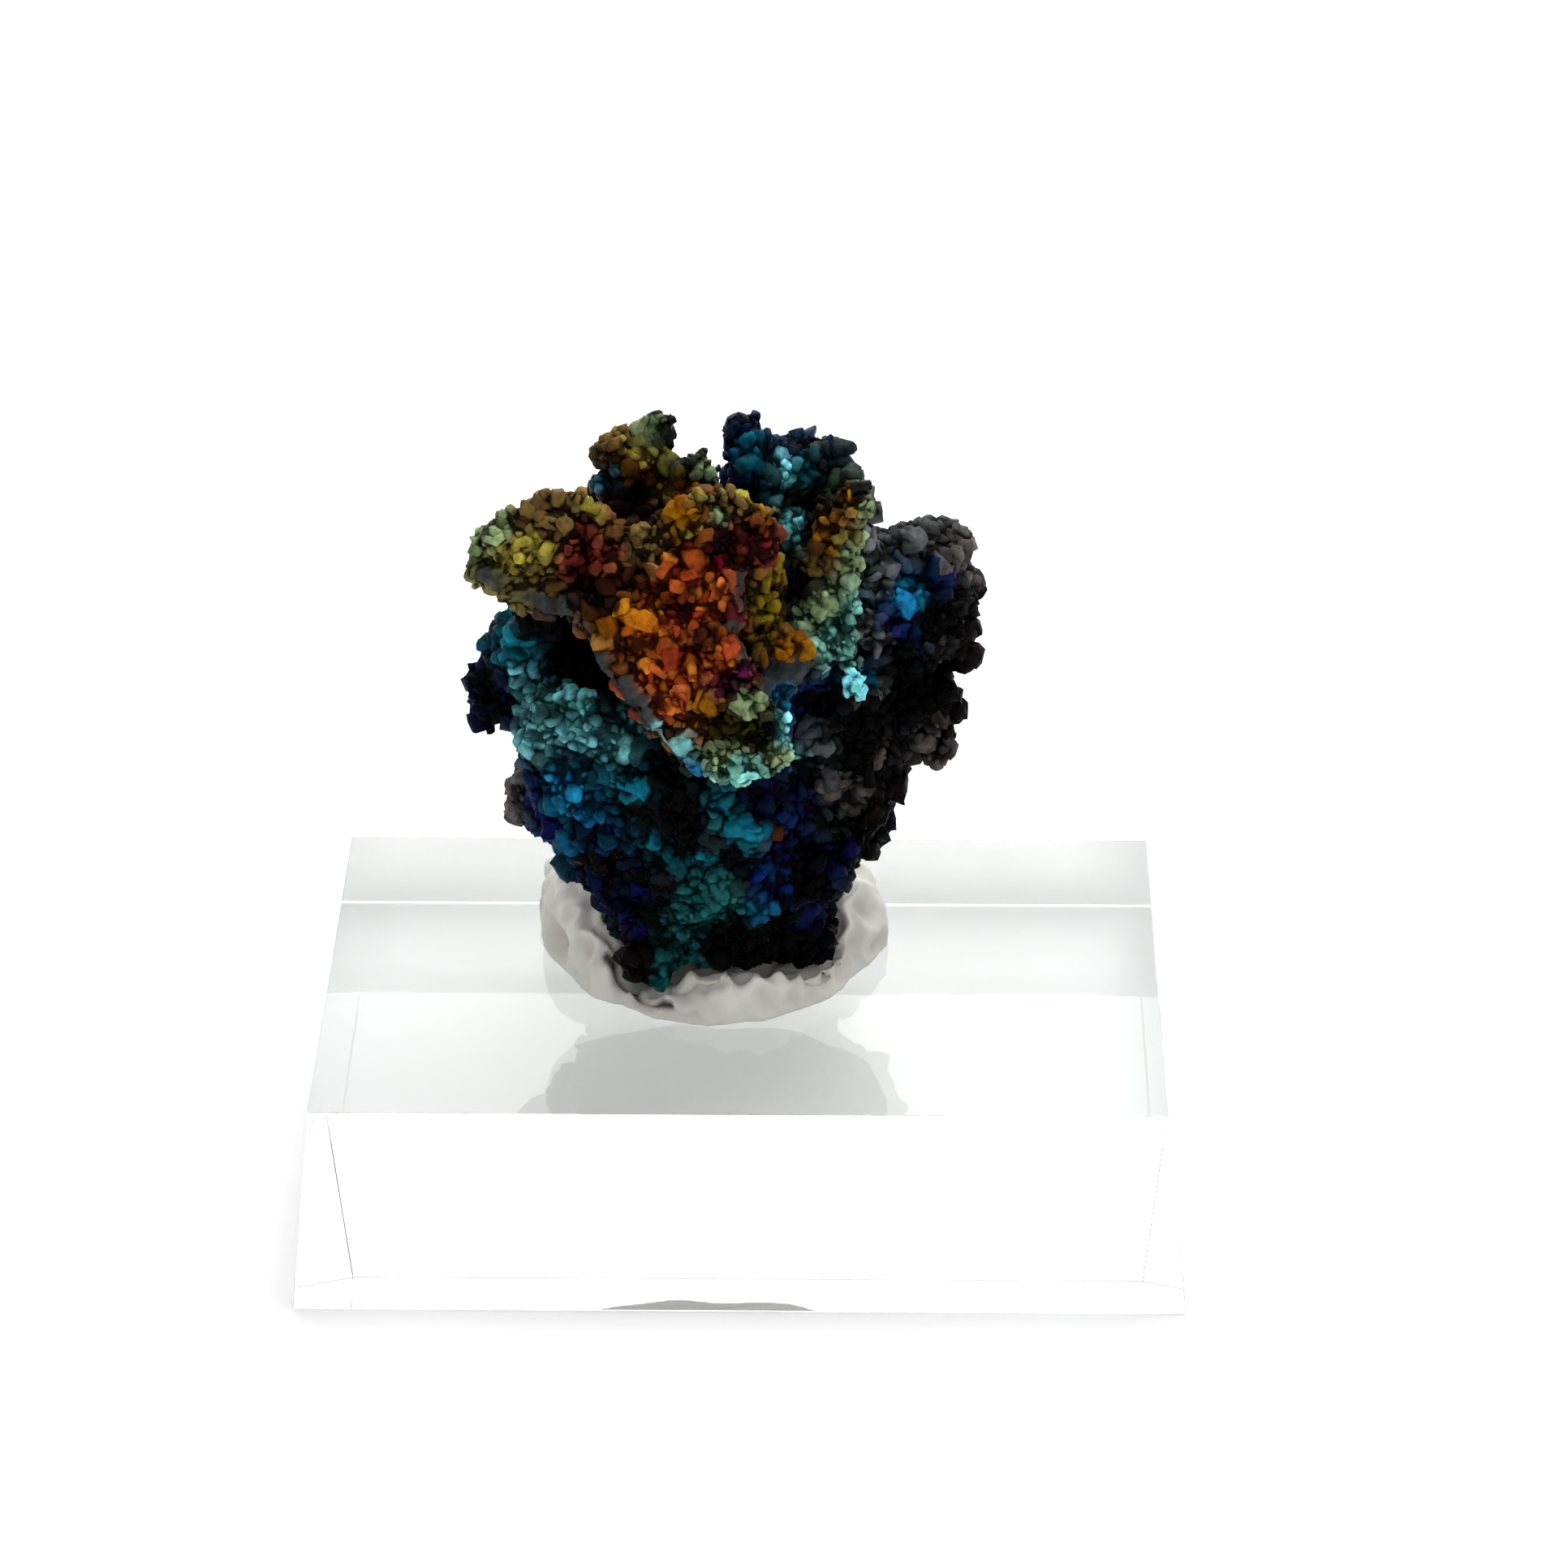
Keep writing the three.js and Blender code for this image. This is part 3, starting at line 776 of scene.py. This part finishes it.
# Bare broken edges and smooth streaks, in mm: finish, half width and line
rims = [
    ("broken", 0.4, [(-11.1, -3.8, 33.1), (-9.7, -4.2, 32.6), (-8.0, -4.7, 32.1), (-6.9, -5.1, 31.8)]),
    ("broken", 0.6, [
        (-6.6, -5.2, 31.2), (-6.2, -5.6, 30.4), (-5.3, -6.0, 29.3), (-4.6, -6.5, 28.3), (-3.7, -6.9, 27.5),
    ]),
    ("magenta", 0.45, [(-1.9, -6.5, 28.5), (-0.6, -6.2, 29.2), (0.5, -6.0, 29.8)]),
    ("aqua", 0.35, [(-3.4, -7.2, 27.1), (-2.3, -7.1, 26.4), (-1.8, -7.2, 26.1)]),
    ("broken", 0.6, [
        (0.3, -4.4, 33.6), (0.4, -4.7, 32.7), (0.3, -5.2, 31.6), (0.3, -5.5, 30.7), (0.7, -5.8, 29.9),
    ]),
    ("broken", 0.65, [(1.4, -4.7, 28.3), (2.0, -3.9, 28.3), (2.8, -3.9, 28.2), (3.6, -3.6, 27.7)]),
    ("rust", 0.5, [(-5.9, -2.8, 14.2), (-5.4, -3.0, 12.9), (-4.6, -3.7, 11.6)]),
    ("broken", 0.4, [
        (4.0, -2.5, 20.9), (4.6, -2.4, 21.6), (5.4, -2.1, 21.4), (5.8, -1.9, 20.7), (5.2, -2.1, 20.0),
    ]),
    ("sage", 0.3, [
        (-1.4, -3.2, 36.7), (0.0, -3.3, 36.6), (1.2, -3.6, 36.2), (1.9, -4.2, 35.0), (2.0, -4.6, 33.9),
    ]),
]

# How the zones meet: a higher edge gives a sharper border, and the noise makes it wander
zoneValues = {
    "rimStep": 0.8,
    "edge": 7,
    "core": 0.01,  # keeps a zone's middle from outweighing all else
    "wanderSize": 1.1,
    "wanderReach": 0.35,
    "wanderSeeds": (2, 5, 9),
    "batch": 4000,  # points worked out at once
}


# The finish at each point, blended from the zones and rims round it: its colour and the coat that grows
def finishFields(points, values):
    rows = [(tint, place, reach, tints[tint][1]) for tint, place, reach in zones]
    for tint, reach, line in rims:
        for start, end in zip(line, line[1:]):
            steps = max(2, round((Vector(end) - Vector(start)).length / (values["rimStep"] * reach)))
            for step in range(steps):
                place = tuple(Vector(start).lerp(Vector(end), step / steps))
                rows.append((tint, place, reach, "smooth"))
    colours = np.array([tints[tint][0] for tint, _, _, _ in rows])
    places = np.array([place for _, place, _, _ in rows]) * mm
    reaches = np.array([reach for _, _, reach, _ in rows]) * mm
    coats = ["smooth", *noduleValues]
    coatRows = np.array([[coat == name for name in coats] for _, _, _, coat in rows], dtype=float)
    wander = [noiseField(points, values["wanderSize"], seed, 3) for seed in values["wanderSeeds"]]
    moved = points + np.stack(wander, axis=1) * values["wanderReach"] * mm
    colour = np.empty((len(points), 3))
    share = np.empty((len(points), len(coats)))
    for start in range(0, len(points), values["batch"]):
        part = slice(start, start + values["batch"])
        far = np.linalg.norm(moved[part, None, :] - places[None], axis=2) / reaches
        weight = 1.0 / (far ** values["edge"] + values["core"])
        total = weight.sum(axis=1, keepdims=True)
        colour[part] = weight @ colours / total
        share[part] = weight @ coatRows / total
    most = share.argmax(axis=1)
    return colour, {name: most == index for index, name in enumerate(coats)}


filmValues = {
    "cloudScale": 800.0,
    "cloudDetail": 3.0,
    "gritScale": 2400.0,
    "gritDetail": 4.0,
    "gritRange": (0.3, 0.7),
    "hueDrift": 0.024,
    "driftRange": (0.3, 1.7),
    "shadeLevels": (0.6, 1.35),
    "riseRange": (0.02, 0.75),  # heights above the body, in radii, from crevice to crest
    # painted shade in crevices and painted light on crests, scaled between these by rise
    "creviceShadeLevel": 0.26,
    "crestLightLevel": 1.55,
    "flickerLeast": 0.56,
    "flickerMost": 1.5,
    # painted shade in pits and grooves: colour scaled from this share in a pit up to openLevel on an open
    # crown
    "pitShadeLevel": 0.2,
    "openLevel": 1.1,
    "creviceShadeGamma": 1.45,  # above 1 the colour deepens
    "crestLightGamma": 1.0,
    "metallic": 0.04,
    "specular": 0.04,
    "roughRange": (0.32, 0.62),
    "bumpStrength": 0.9,
    "bumpHeight": 0.14,
}


# The iridescent film: its hue drifts, and painted shade makes it dark and deep in crevices and pits, while
# painted light makes it lighter on crests
def stoneMaterial(name, values):
    material, tree, shader = newMaterial(name)
    place = addNode(tree, "ShaderNodeTexCoord").outputs["Object"]
    tint = attributeNode(tree, "tint", "Color")
    shade = attributeNode(tree, "shade")
    cloud = cloudNode(tree, place, values["cloudScale"], values["cloudDetail"])
    grit = cloudNode(tree, place, values["gritScale"], values["gritDetail"])

    drift = (0.5 - values["hueDrift"], 0.5 + values["hueDrift"])
    hue = rangeNode(tree, mathNode(tree, "ADD", cloud, shade), values["driftRange"], drift)
    strength = rangeNode(tree, shade, (0.0, 1.0), values["shadeLevels"])
    turned = {"Hue": hue, "Value": strength, "Color": tint}
    turned = addNode(tree, "ShaderNodeHueSaturation", turned).outputs[0]

    # painted shade and light by rise: dark and deepened in crevices, lighter on crests
    levels = (values["creviceShadeLevel"], values["crestLightLevel"])
    rise = attributeNode(tree, "rise")
    riseShading = rangeNode(tree, rise, values["riseRange"], levels, interpolation_type="SMOOTHSTEP")
    # painted shade in the body's pits and grooves, read from its depth
    deep = attributeNode(tree, "deep")
    opened = rangeNode(tree, deep, (0.0, 1.0), (values["pitShadeLevel"], values["openLevel"]))
    lit = mathNode(tree, "MULTIPLY", riseShading, opened)
    bend = rangeNode(tree, lit, (0.0, 1.0), (values["creviceShadeGamma"], values["crestLightGamma"]))
    shadeDeepened = addNode(tree, "ShaderNodeGamma", {"Color": turned, "Gamma": bend}).outputs[0]
    flicker = rangeNode(tree, grit, values["gritRange"], (values["flickerLeast"], values["flickerMost"]))
    level = mathNode(tree, "MULTIPLY", lit, flicker)
    tree.links.new(scaleNode(tree, shadeDeepened, level), shader.inputs["Base Color"])

    rough = rangeNode(tree, grit, values["gritRange"], values["roughRange"])
    tree.links.new(rough, shader.inputs["Roughness"])
    shader.inputs["Metallic"].default_value = values["metallic"]
    shader.inputs["Specular IOR Level"].default_value = values["specular"]
    bump = {"Height": grit, "Strength": values["bumpStrength"], "Distance": values["bumpHeight"] * mm}
    tree.links.new(addNode(tree, "ShaderNodeBump", bump).outputs[0], shader.inputs["Normal"])
    return material


# The coats of nodules. They stand at least their spacing apart, and up to density of them on a square mm.
# Variety is how much their sizes differ, and spread how much their own three axes do. Sink is how deep
# they sit, and wobble how far noise bends them. The seed fixes where they stand.
noduleValues = {
    "blockyNodules": {
        "spacing": 0.35,
        "density": 60.0,
        "radius": 0.3,
        "variety": 0.4,
        "spread": 0.6,
        "sink": 0.35,
        "wobble": 0.46,
        "wobbleScale": 1.8,
        "roundness": 0.48,
        "cuts": 2,
        "seed": 3,
    },
    "fineNodules": {
        "spacing": 0.31,
        "density": 70.0,
        "radius": 0.25,
        "variety": 0.4,
        "spread": 0.5,
        "sink": 0.3,
        "wobble": 0.34,
        "wobbleScale": 2.3,
        "roundness": 0.5125,
        "cuts": 2,
        "seed": 5,
    },
    "grainNodules": {
        "spacing": 0.2,
        "density": 150.0,
        "radius": 0.24,
        "variety": 0.4,
        "spread": 0.3,
        "sink": 0.5,
        "wobble": 0.16,
        "wobbleScale": 2.6,
        "roundness": 0.87,
        "cuts": 2,
        "seed": 21,
    },
    "roundNodules": {
        "spacing": 0.4,
        "density": 48.0,
        "radius": 0.32,
        "variety": 0.45,
        "spread": 0.45,
        "sink": 0.38,
        "wobble": 0.42,
        "wobbleScale": 1.7,
        "roundness": 0.6425,
        "cuts": 2,
        "seed": 8,
    },
    "roughNodules": {
        "spacing": 0.38,
        "density": 44.0,
        "radius": 0.33,
        "variety": 0.45,
        "spread": 0.5,
        "sink": 0.4,
        "wobble": 0.5,
        "wobbleScale": 1.8,
        "roundness": 0.5125,
        "cuts": 1,
        "seed": 15,
    },
    "darkNodules": {
        "spacing": 0.42,
        "density": 36.0,
        "radius": 0.35,
        "variety": 0.45,
        "spread": 0.5,
        "sink": 0.4,
        "wobble": 0.5,
        "wobbleScale": 1.8,
        "roundness": 0.5125,
        "cuts": 1,
        "seed": 27,
    },
}
cubeReach = 0.8

fullTurn = 6.283  # in radians
sinkRange = (-1.6, -0.4)  # each nodule's depth, as a share of its coat's sink
turnRange = ((0.0, 0.0, 0.0), (fullTurn, fullTurn, fullTurn))
drawSeeds = {"size": 6, "shape": 4, "sink": 7, "turn": 9}


# Geometry Nodes that grow one coat: lumps of mixed size, turned at random and sunk into the body
def noduleTree(shape, material, coat):
    tree = bpy.data.node_groups.new(coat, "GeometryNodeTree")
    face = tree.interface
    face.new_socket("Geometry", in_out="INPUT", socket_type="NodeSocketGeometry")
    for name in ("Spacing", "Density", "Radius", "Variety", "Spread", "Sink", "Wobble", "Wobble Scale"):
        face.new_socket(name, in_out="INPUT", socket_type="NodeSocketFloat")
    face.new_socket("Seed", in_out="INPUT", socket_type="NodeSocketInt")
    face.new_socket("Geometry", in_out="OUTPUT", socket_type="NodeSocketGeometry")
    source = addNode(tree, "NodeGroupInput").outputs

    def stored(name):
        return addNode(tree, "GeometryNodeInputNamedAttribute", {"Name": name}, data_type="FLOAT").outputs[0]

    def store(geometry, name, value):
        inputs = {"Geometry": geometry, "Name": name, "Value": value}
        kind = "GeometryNodeStoreNamedAttribute"
        return addNode(tree, kind, inputs, data_type="FLOAT", domain="POINT").outputs[0]

    def draw(low, high, seed):
        inputs = {2: low, 3: high, "Seed": seed}
        return addNode(tree, "FunctionNodeRandomValue", inputs, data_type="FLOAT").outputs[1]

    def drawVector(low, high, seed):
        inputs = {0: low, 1: high, "Seed": seed}
        return addNode(tree, "FunctionNodeRandomValue", inputs, data_type="FLOAT_VECTOR").outputs[0]

    def around(name):
        return [mathNode(tree, operation, 1.0, source[name]) for operation in ("SUBTRACT", "ADD")]

    places = {"Mesh": source["Geometry"], "Distance Min": source["Spacing"], "Seed": source["Seed"]}
    places["Density Max"] = source["Density"]
    places["Density Factor"] = mathNode(tree, "GREATER_THAN", stored(coat), 0.5)
    kind = "GeometryNodeDistributePointsOnFaces"
    scatter = addNode(tree, kind, places, distribute_method="POISSON").outputs
    marked = store(scatter["Points"], "shade", draw(0.0, 1.0, source["Seed"]))

    local = mathNode(tree, "MULTIPLY", source["Radius"], stored("grain"))
    wide = mathNode(tree, "MULTIPLY", local, draw(*around("Variety"), drawSeeds["size"]))
    size = scaleNode(tree, drawVector(*around("Spread"), drawSeeds["shape"]), wide)
    share = mathNode(tree, "MULTIPLY", source["Sink"], draw(*sinkRange, drawSeeds["sink"]))
    down = scaleNode(tree, scatter["Normal"], mathNode(tree, "MULTIPLY", wide, share))
    sunk = addNode(tree, "GeometryNodeSetPosition", {"Geometry": marked, "Offset": down}).outputs[0]
    turn = drawVector(*turnRange, drawSeeds["turn"])
    lump = addNode(tree, "GeometryNodeObjectInfo", {"Object": shape}).outputs["Geometry"]
    copies = {"Points": sunk, "Instance": lump, "Rotation": turn, "Scale": size}
    copies = addNode(tree, "GeometryNodeInstanceOnPoints", copies).outputs["Instances"]
    real = addNode(tree, "GeometryNodeRealizeInstances", {"Geometry": copies}).outputs["Geometry"]

    cloud = {"Scale": source["Wobble Scale"], "Detail": 1.0}
    cloud = addNode(tree, "ShaderNodeTexNoise", cloud).outputs["Color"]
    centred = {0: cloud, 1: (0.5, 0.5, 0.5)}
    centred = addNode(tree, "ShaderNodeVectorMath", centred, operation="SUBTRACT").outputs[0]
    shake = {"Geometry": real, "Offset": scaleNode(tree, centred, source["Wobble"])}
    shaken = addNode(tree, "GeometryNodeSetPosition", shake).outputs[0]
    near = {0: source["Geometry"]}
    away = addNode(tree, "GeometryNodeProximity", near, target_element="FACES").outputs["Distance"]
    # how far each point stands off the body, which sets the film's painted shade and light
    risen = store(shaken, "rise", mathNode(tree, "DIVIDE", away, source["Radius"]))
    painted = addNode(tree, "GeometryNodeSetMaterial", {"Geometry": risen, "Material": material})
    addNode(tree, "NodeGroupOutput", {"Geometry": painted.outputs[0]})
    return tree


# The lump that a coat repeats, from a small cube at roundness 0 to a ball at 1
def noduleShape(name, roundness, cuts):
    mesh = bpy.data.meshes.new(name)
    work = bmesh.new()
    bmesh.ops.create_cube(work, size=2.0)
    bmesh.ops.subdivide_edges(work, edges=work.edges, cuts=cuts, use_grid_fill=True)
    for vert in work.verts:
        vert.co = (vert.co * cubeReach).lerp(vert.co.normalized(), roundness)
    work.to_mesh(mesh)
    work.free()
    return bpy.data.objects.new(name, mesh)


def makeNodules(name, body, values, material):
    shape = noduleShape(name + "Shape", values["roundness"], values["cuts"])
    obj = link(name, body.data.copy())
    obj.data.materials.clear()
    tree = noduleTree(shape, material, name)
    modifier = obj.modifiers.new("scatter", "NODES")
    modifier.node_group = tree
    amounts = {
        "Spacing": values["spacing"] * mm,
        "Density": values["density"] / mm**2,
        "Radius": values["radius"] * mm,
        "Variety": values["variety"],
        "Spread": values["spread"],
        "Sink": values["sink"],
        "Wobble": values["wobble"] * mm,
        "Wobble Scale": values["wobbleScale"] / mm,
        "Seed": values["seed"],
    }
    for item in tree.interface.items_tree:
        if item.in_out == "INPUT" and item.name in amounts:
            modifier[item.identifier] = amounts[item.name]
    mesh = bake(obj)
    smoothFaces(mesh)
    say(f"{name} has {len(mesh.polygons)} faces")
    return obj


stoneValues = {
    "voxel": 0.21,
    "smoothing": 2,
    "lumpSize": 1.5,
    "lumpSeed": 3.0,
    "lumpSlope": 1.6,
    "lumpLevel": 0.7,  # lumps above this stand out, and the rest sinks
    "lumpHeight": 0.42,
    "grainSize": 0.42,
    "grainSeed": 7.0,
    "grainHeight": 0.1,
    "pitSize": 1.5,
    "pitSeed": 31.0,
    "pitShare": 0.4,
    "pitEdge": 0.5,
    "pitDepth": 0.35,
    "inset": 0.12,  # draws the body in, so that the nodules end at the solid's outline
    "shadeSize": 0.8,
    "shadeSeed": 21.0,
    "shadeSpread": 0.3,
    "bareRise": 0.6,  # the film on bare edges is lit as if at this rise
    "bareGrain": 0.3,
    "bareOpen": 0.9,
    # the rise and openness below set the painted shade in grooves and pits and the painted light on lumps
    "grooveLevel": 0.3,
    "lumpRise": 0.5,
    "grooveOpen": 0.45,
    "pitOpen": 0.3,
    "lumpOpenness": 2.0,
    "coarseSize": 3.0,  # patches of larger and smaller nodules
    "coarseSeed": 12.0,
    "coarseSpread": 0.3,
    "coarseRange": (0.6, 1.4),
}


# Rounded lumps in the cells of a scatter: 1 on a cell's top, down to 0 in the grooves between cells
def lumpField(points, size, slope, seed):
    shift = Vector((seed, seed * 1.7, seed * 0.6))
    field = np.empty(len(points))
    for index, point in enumerate(points):
        near = noise.voronoi(Vector(point) / (size * mm) + shift)[0]
        field[index] = min(1.0, (near[1] - near[0]) * slope)
    return field


# What the film and the nodules read at each point of the body, with the rise and depth that set the film's
# painted shade in grooves and pits
def storeFinish(mesh, points, lumps, grain, pits, values):
    colour, coats = finishFields(points, zoneValues)
    layer = mesh.attributes.new("tint", "FLOAT_COLOR", "POINT")
    layer.data.foreach_set("color", np.hstack([colour, np.ones((len(colour), 1))]).astype(np.float32).ravel())
    shade = noiseField(points, values["shadeSize"], values["shadeSeed"], 1)
    storeValues(mesh, "shade", 0.5 + values["shadeSpread"] * shade)
    bare = coats["smooth"]
    bareRise = values["bareRise"] + values["bareGrain"] * grain
    storeValues(mesh, "rise", np.where(bare, bareRise, (lumps - values["grooveLevel"]) * values["lumpRise"]))
    # painted shade: the film is darker in pits and in the grooves between lumps
    pitOpen, grooveOpen = values["pitOpen"], values["grooveOpen"]
    crowns = np.clip(lumps * values["lumpOpenness"], 0, 1)
    opened = (pitOpen + (1 - pitOpen) * pits) * (grooveOpen + (1 - grooveOpen) * crowns)
    storeValues(mesh, "deep", np.where(bare, values["bareOpen"], opened))
    for name in noduleValues:
        storeValues(mesh, name, coats[name])
    coarse = 1.0 + values["coarseSpread"] * noiseField(points, values["coarseSize"], values["coarseSeed"], 1)
    storeValues(mesh, "grain", np.clip(coarse, *values["coarseRange"]))


def makeStone(values):
    obj = nodeCopy("stoneBody", "goethite")
    mesh = remesh(obj, values["voxel"], values["smoothing"])
    points = readPoints(mesh)
    normals = readNormals(mesh)
    lumps = lumpField(points, values["lumpSize"], values["lumpSlope"], values["lumpSeed"])
    grain = noiseField(points, values["grainSize"], values["grainSeed"])
    pits = noiseField(points, values["pitSize"], values["pitSeed"], 2)
    pits = np.clip((pits + values["pitShare"]) / values["pitEdge"], 0, 1)
    height = (lumps - values["lumpLevel"]) * values["lumpHeight"] + grain * values["grainHeight"]
    height = height - values["inset"] - (1 - pits) * values["pitDepth"]
    points = points + normals * (height * mm)[:, None]
    writePoints(mesh, points)
    storeFinish(mesh, points, lumps, grain, pits, values)
    smoothFaces(mesh)
    mesh.materials.append(stoneMaterial("stoneBody", filmValues))
    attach(obj, "root")
    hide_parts("goethite")
    say(f"the stone's body has {len(mesh.polygons)} faces")
    film = stoneMaterial("stoneNodules", filmValues)
    for name, amounts in noduleValues.items():
        piece = makeNodules(name, obj, amounts, film)
        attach(piece, "root")
        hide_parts("goethite")


makeCamera(cameraValues)
makeStage(lightValues)
makeAcrylic(acrylicValues)
makePutty(puttyValues)
makeStone(stoneValues)
say("all pieces are made")
